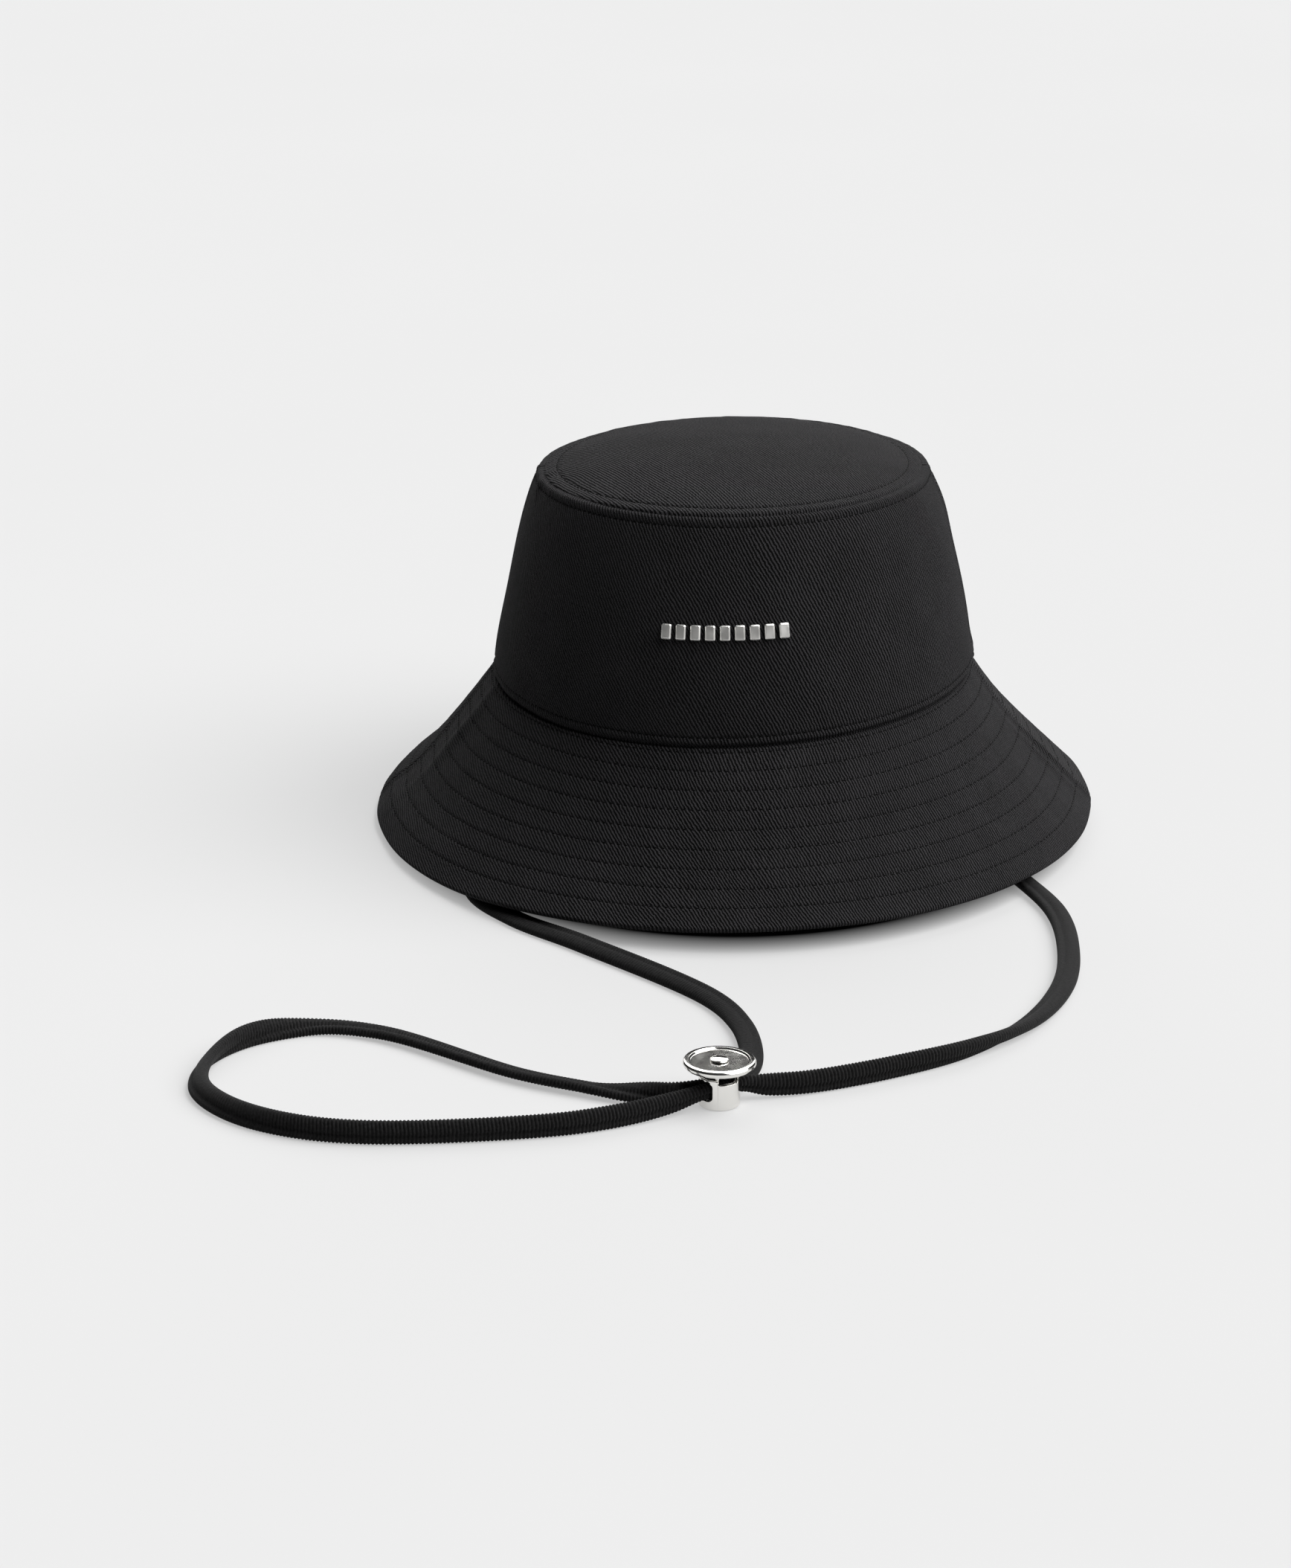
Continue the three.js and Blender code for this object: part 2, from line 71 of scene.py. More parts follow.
CROWN_SLOPE = 0.081  # turns distances up the crown side into shares; the side itself is 78 mm long
BRIM_SLOPE = 0.0709  # length of the brim from seam to edge
CLOTH = 0.0006  # thickness of the twill
EDGE_ROLL = 0.00125  # radius of the turned edge of the brim

# Rows of stitching, as distances from a seam.
BRIM_ROWS = [0.0082 + 0.00675 * k + 0.000115 * k * k for k in range(8)]
BRIM_EDGE_STITCH = 0.0019
BASE_STITCH = 0.0034
SIDE_STITCH = 0.0036
TIP_STITCH = 0.0055

STITCH_PITCH = 0.0027
STITCH_LENGTH = 0.0020
THREAD = 0.00024  # radius

SEAM_GROOVE = 0.0006  # half width of the grooves along the seams
ROW_GROOVE = 0.0005  # half width of the grooves under the rows of stitches
UNDERSIDE_RELIEF = 0.7  # strength of the stitching's relief on the lower cloth, against the upper one's
ALLOWANCE = 0.0012  # how far the crown side's cloth reaches below its seam, turned in

# The panels meet at the side seams with a hair's breadth between them.
SEAM_HALF_ANGLE = 0.0001
FRONT = (math.pi + SEAM_HALF_ANGLE, 2 * math.pi - SEAM_HALF_ANGLE)
BACK = (SEAM_HALF_ANGLE, math.pi - SEAM_HALF_ANGLE)
ROUND = (0.5 * math.pi + 0.002, 2.5 * math.pi - 0.002)  # once round, from the middle of the back
STIFFENER_GAP = 0.03  # radians, which keeps the stiffener clear of the side seams

# ---- the three outside surfaces, for arrays of angles and shares ----


def unit(vectors):
    return vectors / np.linalg.norm(vectors, axis=-1, keepdims=True)


def lerp(start, end, share):
    return start + (end - start) * share[..., None]


def seam_ring(ring, angle):
    height = ring["height"] + ring["rise_right"] * np.cos(angle) - ring["rise_front"] * np.sin(angle)
    return np.stack([ring["shift"] + ring["x"] * np.cos(angle), ring["y"] * np.sin(angle), height], -1)


def edge_ring(angle):
    """The edge of the brim touches the floor at the back and on the left and lifts to the front and right."""
    right = (1 + np.cos(angle)) / 2
    front = np.maximum(0, -np.sin(angle)) ** 2
    side_share = np.where(np.sin(angle) > 0, right**3, right)
    height = EDGE_RING["left_height"] + EDGE_RING["right_rise"] * side_share + EDGE_RING["front_rise"] * front
    across = EDGE_RING["shift"] + EDGE_RING["x"] * np.cos(angle)
    return np.stack([across, EDGE_RING["y"] * np.sin(angle), height], -1)


def crown_side(angle, share):
    point = lerp(seam_ring(BASE_RING, angle), seam_ring(TIP_RING, angle), share)
    swell = 1 + CROWN_BULGE * np.maximum(0, share) ** 0.8 * (1 - share) ** 0.6
    return point * np.stack([swell, swell, np.ones_like(swell)], -1)


def crown_tip(angle, share):
    point = lerp(seam_ring(TIP_RING, angle), np.array([0, 0, TIP_RING["height"]]), share)
    point[..., 2] += DOME_RISE * (1 - (1 - share) ** DOME_POWER)
    return point


def brim(angle, share):
    seam, edge = seam_ring(BASE_RING, angle), edge_ring(angle)
    point = lerp(seam, edge, share)
    point[..., 2] -= BRIM_SAG * np.linalg.norm(seam - edge, axis=-1) * 4 * share * (1 - share)
    return point


def outward(surface, angle, share):
    """Unit normals of a surface, away from the head."""
    step_size = 1e-4
    near = np.minimum(share, 0.97)
    step = np.where(near < 0.5, step_size, -step_size)
    point = surface(angle, near)
    around = surface(angle + step_size, near) - point
    along = (surface(angle, near + step) - point) * np.sign(step)[..., None]
    out = unit(np.cross(around, along))
    away_from_head = point * [1, 1, 0] + [0, 0, BASE_RING["x"]]
    facing = (out * away_from_head).sum(-1)
    return out * np.sign(facing)[..., None]


# ---- relief: how deep the skin lies below its surface at a point ----


def dent(distance, depth, width):
    return depth * np.exp(-((distance / width) ** 2))


def ripples(points, seed, shortest, longest, count=20):
    """A smooth field of plane waves that is continuous over the whole hat, about -1 to 1."""
    rng = np.random.default_rng(seed)
    directions = unit(rng.normal(size=(count, 3)))
    wave_numbers = 2 * math.pi / rng.uniform(shortest, longest, count)
    phases = rng.uniform(0, 2 * math.pi, count)
    return np.sin(points @ (directions * wave_numbers[:, None]).T + phases).sum(-1) / math.sqrt(2 * count)


def side_seam(points, depth, ridge):
    """The pressed seam between front and back panels, in the plane y = 0, with an allowance on each side."""
    away = np.abs(points[..., 1])
    return dent(away, depth, SEAM_GROOVE) - dent(away - 0.0026, ridge, 0.0016)


def shoulder_fold(points):
    """A small fold that runs up over the tip seam at its left end."""
    end, direction = np.array([-0.0665, -0.018, 0.131]), unit(np.array([0.55, 0.6, 0.6]))
    offset = points - end
    run = offset @ direction
    away = np.linalg.norm(offset - run[..., None] * direction, axis=-1)
    return dent(away, 0.0011, 0.0022) * dent(run, 1, 0.009)


def crown_relief(points, angle, share):
    """Seams, stitching, soft waves and the sides' lean: the left one in, the right one's top and foot out."""
    up, down = share * CROWN_SLOPE, (1 - share) * CROWN_SLOPE
    seams = dent(up, 0.0008, SEAM_GROOVE) + dent(down, 0.0010, SEAM_GROOVE)
    stitching = dent(up - BASE_STITCH, 0.00032, ROW_GROOVE) + dent(down - SIDE_STITCH, 0.00032, ROW_GROOVE)
    welt = dent(up - 0.0017, 0.0003, 0.0010) + dent(down - 0.0018, 0.0003, 0.0011)
    soft = 0.0003 * ripples(points, 1, 0.03, 0.09)
    pucker = 0.00010 * ripples(points, 2, 0.004, 0.009) * (dent(down, 1, 0.006) + dent(up, 1, 0.005))
    turned_in = np.maximum(0, -up)
    left, right = np.maximum(0, -np.cos(angle)) ** 2, np.maximum(0, np.cos(angle)) ** 2
    lean = left * dent(share - 0.4, 0.0012, 0.28) - right * dent(share - 0.8, 0.0009, 0.14)
    foot = right * dent(share - 0.05, 0.0009, 0.06)
    fine = seams + stitching - welt + pucker + side_seam(points, 0.0006, 0.00035)
    return fine + soft + turned_in + lean - foot - shoulder_fold(points)


def tip_relief(points, angle, share):
    """Seam, stitching and soft waves. The two ends of the tip lie a little lower."""
    radius = np.linalg.norm(seam_ring(TIP_RING, angle)[..., :2], axis=-1)
    away = share * radius
    seams = dent(away, 0.0010, SEAM_GROOVE) + dent(away - TIP_STITCH, 0.00034, 0.0006)
    welt = dent(away - 0.0022, 0.0003, 0.0014)
    ends = dent(away - 0.004, 0.0008, 0.009) * np.cos(angle) ** 2
    soft = 0.00035 * ripples(points, 3, 0.03, 0.09) * (1 - dent(away, 1, 0.01))
    pucker = 0.00012 * ripples(points, 4, 0.004, 0.009) * dent(away, 1, 0.008)
    return seams - welt + ends + soft + pucker - shoulder_fold(points)


def brim_folds(points, share):
    """Ridges in front of the side seams, double on the right and wide on the left, and the fullness there."""
    right, left = points[..., 0] > 0, points[..., 0] < 0
    y = points[..., 1]
    narrow = dent(y + 0.0032, 0.0012, 0.0026) + dent(y + 0.0105, 0.0008, 0.0026)
    wide = dent(y + 0.026, 0.0014, 0.005)
    ridges = right * narrow * dent(share - 0.6, 1, 0.28) + left * wide * dent(share - 0.3, 1, 0.3)
    full = left * dent(share - 0.87, 0.0019, 0.14) - right * dent(share - 0.3, 0.0016, 0.3)
    return ridges + full * dent(y, 1, 0.07)


def brim_drape(points, angle, share):
    """The soft shape that all the layers of the brim share."""
    return 0.0004 * ripples(points, 5, 0.03, 0.09) * share - brim_folds(points, share)


def brim_relief(points, angle, share):
    """Stitching, seams and puckers, on top of the shape that the layers share."""
    away = share * BRIM_SLOPE
    rows = sum(dent(away - row, 0.00028, ROW_GROOVE) for row in BRIM_ROWS)
    seams = dent(away, 0.0009, SEAM_GROOVE) + dent(away - BRIM_EDGE_STITCH, 0.0003, ROW_GROOVE)
    pucker = 0.00007 * ripples(points, 6, 0.004, 0.010)
    return rows + seams + pucker + side_seam(points, 0.0004, 0.0004) + brim_drape(points, angle, share)


# ---- flat patterns, so that the weave runs as it does in cut cloth ----


def ruled_pattern(surface, angles, shares, up):
    """Lays a ruled surface flat, its middle at the origin. up is 1 where share 1 is the upper seam."""
    near = surface(angles, np.zeros_like(angles))
    far = surface(angles, np.ones_like(angles))
    near_steps = np.linalg.norm(np.diff(near, axis=0), axis=-1)
    far_steps = np.linalg.norm(np.diff(far, axis=0), axis=-1)
    slope = np.linalg.norm(far - near, axis=-1)
    turns = (far_steps - near_steps) / slope[1:]
    heading = np.concatenate([[0], np.cumsum(turns)])
    heading -= heading[len(heading) // 2]
    middle = (heading[1:] + heading[:-1]) / 2
    steps = near_steps[:, None] * np.stack([np.cos(middle), np.sin(middle)], -1)
    base = np.concatenate([[[0, 0]], np.cumsum(steps, axis=0)])
    base -= base[len(base) // 2]
    out = np.stack([np.sin(heading), -np.cos(heading)], -1)
    flat = base[:, None] + out[:, None] * (shares * slope[:, None])[..., None]
    return flat * [1, -up]


# ---- mesh building ----

SHEET_CLEARANCE = 0.0001  # how low over the floor a sheet may lie


def spaced(length, lines, coarse, fine, reach):
    """Places from 0 to length, `fine` apart within `reach` of each line and `coarse` apart elsewhere."""
    places, at = [0.0], 0.0
    while at < length:
        close = min(abs(at - line) for line in lines) < reach
        at = min(length, at + (fine if close else coarse))
        places.append(at)
    return np.array(places)


def panel_angles(start, end, coarse, fine, radius=0.117):
    """Angles across a panel, closer together beside the side seams at its two ends."""
    length = (end - start) * radius
    return start + spaced(length, [0, length], coarse, fine, 0.006) / radius


def make_piece(name, vertices, faces, material, slot, uvs=None, body="hat"):
    """A shaded mesh object with its faces pointing out, which rides on a body."""
    mesh = bpy.data.meshes.new(name)
    vertices, faces = np.asarray(vertices, float), [tuple(int(i) for i in f) for f in faces]
    mesh.from_pydata(vertices.tolist(), [], faces)
    if uvs is not None:
        layer = mesh.uv_layers.new(name="pattern")
        corners = np.empty(len(mesh.loops), int)
        mesh.loops.foreach_get("vertex_index", corners)
        layer.data.foreach_set("uv", np.asarray(uvs, float)[corners].astype(np.float32).ravel())
    work = bmesh.new()
    work.from_mesh(mesh)
    if work.calc_volume(signed=True) < 0:
        bmesh.ops.reverse_faces(work, faces=work.faces[:])
    work.to_mesh(mesh)
    work.free()
    mesh.materials.append(material)
    mesh.polygons.foreach_set("use_smooth", [True] * len(mesh.polygons))
    piece = bpy.data.objects.new(name, mesh)
    bpy.context.scene.collection.objects.link(piece)
    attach(piece, body)
    return piece


def sheet_faces(columns, rows):
    """The faces of a closed sheet: columns x rows points on its skin, then as many on its back."""
    behind = columns * rows
    index = np.arange(behind).reshape(columns, rows)
    a, b, c, d = index[:-1, :-1], index[1:, :-1], index[1:, 1:], index[:-1, 1:]
    quads = np.stack([a, b, c, d], -1).reshape(-1, 4)
    rim = np.concatenate([index[:, 0], index[-1, 1:], index[-2::-1, -1], index[0, -2:0:-1]])
    following = np.roll(rim, -1)
    walls = np.stack([rim, rim + behind, following + behind, following], -1)
    return np.concatenate([quads, quads[:, ::-1] + behind, walls])


def sheet(name, skin, back, pattern, material, slot):
    """A closed sheet between two grids of points."""
    vertices = np.concatenate([skin.reshape(-1, 3), back.reshape(-1, 3)])
    vertices[:, 2] = np.maximum(vertices[:, 2], SHEET_CLEARANCE)
    uvs = np.concatenate([pattern.reshape(-1, 2)] * 2)
    return make_piece(name, vertices, sheet_faces(*skin.shape[:2]), material, slot, uvs)


def layer(name, surface, angles, shares, depth, thickness, material, slot, relief=None, up=1):
    """A sheet that follows one of the outside surfaces at some depth."""
    angle, share = np.meshgrid(angles, shares, indexing="ij")
    points, out = surface(angle, share), outward(surface, angle, share)
    sunk = depth + (relief(points, angle, share) if relief else 0 * angle)
    skin = points - out * sunk[..., None]
    back = points - out * (sunk + thickness)[..., None]
    return sheet(name, skin, back, ruled_pattern(surface, angles, share, up), material, slot)


# ---- materials ----


class Graph:
    """Short calls for building a node material."""

    def __init__(self, name, **shader_values):
        self.material = bpy.data.materials.new(name)
        self.material.use_nodes = True
        self.tree = self.material.node_tree
        self.shader = self.tree.nodes["Principled BSDF"]
        for socket, value in shader_values.items():
            self.shader.inputs[socket.replace("_", " ")].default_value = value

    def add(self, kind, inputs=(), **settings):
        node = self.tree.nodes.new(kind)
        for key, value in settings.items():
            setattr(node, key, value)
        for socket, value in dict(inputs).items():
            if isinstance(value, bpy.types.NodeSocket):
                self.tree.links.new(value, node.inputs[socket])
            else:
                node.inputs[socket].default_value = value
        return node

    def math(self, operation, *values):
        return self.add("ShaderNodeMath", enumerate(values), operation=operation).outputs[0]

    def noise(self, vector, scale, detail=2.0):
        inputs = {"Vector": vector, "Scale": scale, "Detail": detail}
        return self.add("ShaderNodeTexNoise", inputs).outputs["Fac"]

    def spread(self, value, low, high, to_low, to_high):
        inputs = {0: value, 1: low, 2: high, 3: to_low, 4: to_high}
        return self.add("ShaderNodeMapRange", inputs, clamp=True).outputs[0]

    def blend(self, share, low_colour, high_colour):
        ramp = self.add("ShaderNodeValToRGB", {0: share})
        ramp.color_ramp.elements[0].color = (*low_colour, 1)
        ramp.color_ramp.elements[1].color = (*high_colour, 1)
        return ramp.outputs[0]

    def finish(self, colour=None, roughness=None, height=None, bump=1.0, depth=0.0001):
        if colour is not None:
            self.tree.links.new(colour, self.shader.inputs["Base Color"])
        if roughness is not None:
            self.tree.links.new(roughness, self.shader.inputs["Roughness"])
        if height is not None:
            node = self.add("ShaderNodeBump", {"Height": height, "Strength": bump, "Distance": depth})
            self.tree.links.new(node.outputs[0], self.shader.inputs["Normal"])
        return self.material


def woven(name, pitch, steepness, float_length, low, high, depth, sheen, roughness=0.9):
    """A twill or a plain weave: ribs `pitch` apart that fall to the right, broken into yarn floats. Its
    colour follows the ribs' height: painted shade in the valleys, painted highlight on the crests.
    """
    g = Graph(name, Sheen_Weight=sheen, Sheen_Roughness=0.5, Specular_IOR_Level=0.1)
    g.shader.inputs["Sheen Tint"].default_value = (0.82, 0.8, 0.86, 1)
    place = g.add("ShaderNodeUVMap", uv_map="pattern").outputs[0]
    u, v = g.add("ShaderNodeSeparateXYZ", {0: place}).outputs[:2]
    fall = math.radians(steepness)
    across = g.math("ADD", g.math("MULTIPLY", u, math.sin(fall)), g.math("MULTIPLY", v, math.cos(fall)))
    along = g.math("SUBTRACT", g.math("MULTIPLY", u, math.cos(fall)), g.math("MULTIPLY", v, math.sin(fall)))
    bias = g.spread(g.noise(place, 22.0), 0.3, 0.7, -0.9, 0.9)
    uneven = g.spread(g.noise(place, 700.0), 0.3, 0.7, -0.15, 0.15)
    rib = g.math("ADD", g.math("ADD", g.math("MULTIPLY", across, 1 / pitch), bias), uneven)
    crest = g.spread(g.math("PINGPONG", rib, 0.5), 0.04, 0.5, 0.0, 1.0)
    rounded = g.math("SINE", g.math("MULTIPLY", crest, math.pi / 2))
    step = g.math("MULTIPLY", g.math("FLOOR", rib), 0.37)
    beat = g.math("ADD", g.math("MULTIPLY", along, 1 / float_length), step)
    floats = g.spread(g.math("SINE", g.math("MULTIPLY", beat, 2 * math.pi)), -1.0, 1.0, 0.74, 1.0)
    fuzz = g.noise(place, 4200.0, 3.0)
    height = g.math("ADD", g.math("MULTIPLY", rounded, floats), g.math("MULTIPLY", fuzz, 0.35))
    cloudy = g.spread(g.noise(place, 60.0, 4.0), 0.3, 0.7, -0.10, 0.10)
    # painted shade and painted highlight: darker in the ribs' valleys and lighter on their crests; cloudy
    # adds tone that differs at random
    painted_shade_and_tone = g.math("ADD", g.spread(height, 0.45, 1.05, 0.0, 1.0), cloudy)
    fibre = g.spread(g.noise(place, 1500.0, 4.0), 0.66, 0.8, 0.0, 0.35)
    colour = g.blend(g.math("ADD", painted_shade_and_tone, fibre), low, high)
    rough = g.spread(height, 0.0, 1.2, min(1.0, roughness + 0.08), roughness - 0.06)
    return g.finish(colour, rough, height, 0.9, depth)


def thread_material():
    g = Graph("sewing_thread", Roughness=0.7, Specular_IOR_Level=0.06)
    place = g.add("ShaderNodeTexCoord").outputs["Object"]
    twist = g.noise(place, 5000.0, 2.0)
    colour = g.blend(twist, (0.0003, 0.0003, 0.0003), (0.0015, 0.0015, 0.0016))
    return g.finish(colour, None, twist, 0.5, 0.00005)


def cord_material():
    g = Graph("cord_knit", Sheen_Weight=0.03, Sheen_Roughness=0.5, Specular_IOR_Level=0.12)
    place = g.add("ShaderNodeTexCoord").outputs["Object"]
    yarn, fuzz = g.noise(place, 1300.0, 3.0), g.noise(place, 4500.0, 3.0)
    height = g.math("ADD", yarn, g.math("MULTIPLY", fuzz, 0.6))
    # painted shade: the knit's colour is darker where its relief is low
    painted_shade_and_tone = g.spread(height, 0.55, 1.1, 0.0, 1.0)
    colour = g.blend(painted_shade_and_tone, (0.0004, 0.0004, 0.0004), (0.0095, 0.0092, 0.0095))
    return g.finish(colour, g.spread(fuzz, 0.3, 0.7, 0.8, 0.98), height, 0.7, 0.00018)


def nonwoven_material():
    g = Graph("nonwoven_interfacing", Roughness=0.95)
    place = g.add("ShaderNodeTexCoord").outputs["Object"]
    felt = g.noise(place, 900.0, 6.0)
    colour = g.blend(felt, (0.015, 0.015, 0.016), (0.05, 0.05, 0.052))
    return g.finish(colour, None, felt, 0.8, 0.0002)


def metal_material(name, colour, low, high):
    g = Graph(name, Metallic=1.0)
    place = g.add("ShaderNodeTexCoord").outputs["Object"]
    smudge, grain = g.noise(place, 260.0, 4.0), g.noise(place, 3000.0, 4.0)
    tone = g.blend(smudge, tuple(0.93 * c for c in colour), colour)
    return g.finish(tone, g.spread(smudge, 0.3, 0.7, low, high), grain, 0.06, 0.00003)


TWILL = woven(
    "black_twill", pitch=0.00109, steepness=62, float_length=0.0007,
    low=(0.0001, 0.0001, 0.0001), high=(0.0196, 0.0188, 0.0201), depth=0.0008, sheen=0.0125,
)
LINING = woven(
    "lining_taffeta", pitch=0.0005, steepness=90, float_length=0.0005,
    low=(0.004, 0.004, 0.0045), high=(0.018, 0.018, 0.02), depth=0.00006, sheen=0.05, roughness=0.55,
)
TAPE = woven(
    "herringbone_tape", pitch=0.0009, steepness=45, float_length=0.0006,
    low=(0.003, 0.003, 0.0033), high=(0.022, 0.022, 0.024), depth=0.00012, sheen=0.06, roughness=0.8,
)
SATIN = woven(
    "satin_label", pitch=0.0004, steepness=78, float_length=0.0016,
    low=(0.035, 0.035, 0.037), high=(0.09, 0.09, 0.094), depth=0.00003, sheen=0.1, roughness=0.4,
)
THREAD_BLACK = thread_material()
CORD_KNIT = cord_material()
NONWOVEN = nonwoven_material()
POLISHED = metal_material("polished_nickel", (0.86, 0.85, 0.82), 0.08, 0.2)
BRUSHED = metal_material("brushed_nickel", (0.9, 0.89, 0.86), 0.32, 0.42)
STEEL = metal_material("spring_steel_wire", (0.6, 0.6, 0.6), 0.2, 0.35)

# ---- camera ----

EYE = Vector((0.0382, -1.5630, 0.5494))
DOWN = math.radians(19.06)
SIGHT = Vector((-0.0449 * math.cos(DOWN), 0.9990 * math.cos(DOWN), -math.sin(DOWN)))

camera = bpy.data.objects.new("camera", bpy.data.cameras.new("camera"))
camera.location = EYE
camera.rotation_mode = "QUATERNION"
camera.rotation_quaternion = SIGHT.to_track_quat("-Z", "Y")
camera.data.lens = 101.8
camera.data.sensor_width = 36
camera.data.clip_start, camera.data.clip_end = 0.05, 60
bpy.context.scene.collection.objects.link(camera)
bpy.context.scene.camera = camera

# ---- chin cord ----

# Each stop: x, y, z, lean of the flat side from the floor in degrees, width, thickness, strength of the ribs.
CORD_STOPS = [
    (-0.083, -0.005, 0.0444, 90, 0.0082, 0.0024, 0.3),
    (-0.0825, -0.011, 0.029, 72, 0.0078, 0.004, 0.3),
    (-0.085, -0.044, 0.0055, 20, 0.0078, 0.004, 0.3),
    (-0.0875, -0.099, 0.0017, 0, 0.0082, 0.0034, 0.3),
    (-0.072, -0.125, 0.0018, -8, 0.008, 0.0036, 0.3),
    (-0.047, -0.149, 0.002, -16, 0.0078, 0.004, 0.4),
    (-0.0015, -0.197, 0.002, -14, 0.0078, 0.004, 0.4),
    (0.009, -0.2195, 0.0021, -4, 0.0078, 0.004, 0.3),
    (0.013, -0.243, 0.0022, 10, 0.0078, 0.004, 0.3),
    (0.0124, -0.262, 0.0042, 52, 0.0072, 0.0039, 0.5),
    (0.0086, -0.2749, 0.0061, 90, 0.0052, 0.0037, 0.8),
    (-0.0033, -0.2823, 0.0061, 90, 0.0052, 0.0037, 1),
    (-0.0115, -0.2842, 0.0052, 78, 0.0066, 0.0039, 1),
    (-0.021, -0.2812, 0.0036, 34, 0.0076, 0.004, 1),
    (-0.036, -0.2756, 0.0023, -14, 0.0078, 0.004, 1),
    (-0.060, -0.265, 0.0023, -18, 0.0078, 0.004, 1),
    (-0.108, -0.2315, 0.002, -6, 0.0078, 0.004, 1),
    (-0.131, -0.228, 0.002, 12, 0.0078, 0.004, 1),
    (-0.149, -0.2395, 0.0037, 74, 0.0078, 0.004, 0.7),
    (-0.160, -0.2595, 0.0034, 124, 0.0078, 0.004, 0.2),
    (-0.1605, -0.280, 0.0031, 138, 0.0078, 0.004, 0),
    (-0.1495, -0.298, 0.0035, 126, 0.0078, 0.004, 0.2),
    (-0.130, -0.3112, 0.0038, 106, 0.0078, 0.004, 1),
    (-0.104, -0.3166, 0.0039, 96, 0.0078, 0.004, 1),
    (-0.046, -0.3082, 0.0039, 90, 0.0078, 0.004, 1),
    (-0.024, -0.299, 0.0041, 90, 0.0078, 0.004, 1),
    (-0.011, -0.2916, 0.0048, 90, 0.0070, 0.0039, 1),
    (-0.0012, -0.2857, 0.0061, 90, 0.0052, 0.0037, 1),
    (0.0107, -0.2783, 0.0061, 90, 0.0052, 0.0037, 1),
    (0.019, -0.2752, 0.0047, 90, 0.0074, 0.0039, 1),
    (0.032, -0.271, 0.0041, 90, 0.0078, 0.004, 1),
    (0.058, -0.2577, 0.0039, 87, 0.0078, 0.004, 1),
    (0.083, -0.240, 0.0036, 62, 0.0078, 0.004, 0.6),
    (0.103, -0.2145, 0.0024, 18, 0.0078, 0.004, 0.15),
    (0.1155, -0.181, 0.002, 0, 0.0078, 0.004, 0),
    (0.119, -0.146, 0.002, 0, 0.0078, 0.004, 0),
    (0.116, -0.109, 0.002, 0, 0.0078, 0.004, 0),
    (0.100, -0.064, 0.0022, 0, 0.0078, 0.004, 0),
    (0.0835, -0.013, 0.031, 70, 0.0078, 0.004, 0),
    (0.083, -0.005, 0.0492, 90, 0.0082, 0.0024, 0),
]
CORD_RIB = 0.00122  # pitch of the ribs across the cord
CORD_RIB_DEPTH = 0.0005
CORD_CREASE_DEPTH = 0.0009  # the line that runs along the cord
CORD_STEP = CORD_RIB / 6
CORD_SIDES = 32
CORD_CLEARANCE = 0.00005  # between the floor and the cord where it lies flat


def smooth_route(stops, per_stop):
    """The centripetal curve through the stops, with the section carried along."""
    stops = np.array(stops, float)
    stops = np.concatenate([[2 * stops[0] - stops[1]], stops, [2 * stops[-1] - stops[-2]]])
    share = np.linspace(0, 1, per_stop, endpoint=False)[:, None]
    spans = []
    for before, start, end, after in zip(stops, stops[1:], stops[2:], stops[3:]):
        gaps = [np.linalg.norm((b - a)[:3]) ** 0.5 for a, b in ((before, start), (start, end), (end, after))]
        leave = (start - before) / gaps[0] - (end - before) / (gaps[0] + gaps[1]) + (end - start) / gaps[1]
        arrive = (end - start) / gaps[1] - (after - start) / (gaps[1] + gaps[2]) + (after - end) / gaps[2]
        leave, arrive = leave * gaps[1], arrive * gaps[1]
        square = -3 * start + 3 * end - 2 * leave - arrive
        cube = 2 * start - 2 * end + leave + arrive
        spans.append(start + leave * share + square * share**2 + cube * share**3)
    return np.concatenate([*spans, [stops[-2]]])


def along(line):
    """How far each point of a line is from its start."""
    return np.concatenate([[0], np.cumsum(np.linalg.norm(np.diff(line[:, :3], axis=0), axis=-1))])


def resample(values, line, distances):
    reach = along(line)
    return np.stack([np.interp(distances, reach, column) for column in values.T], -1)


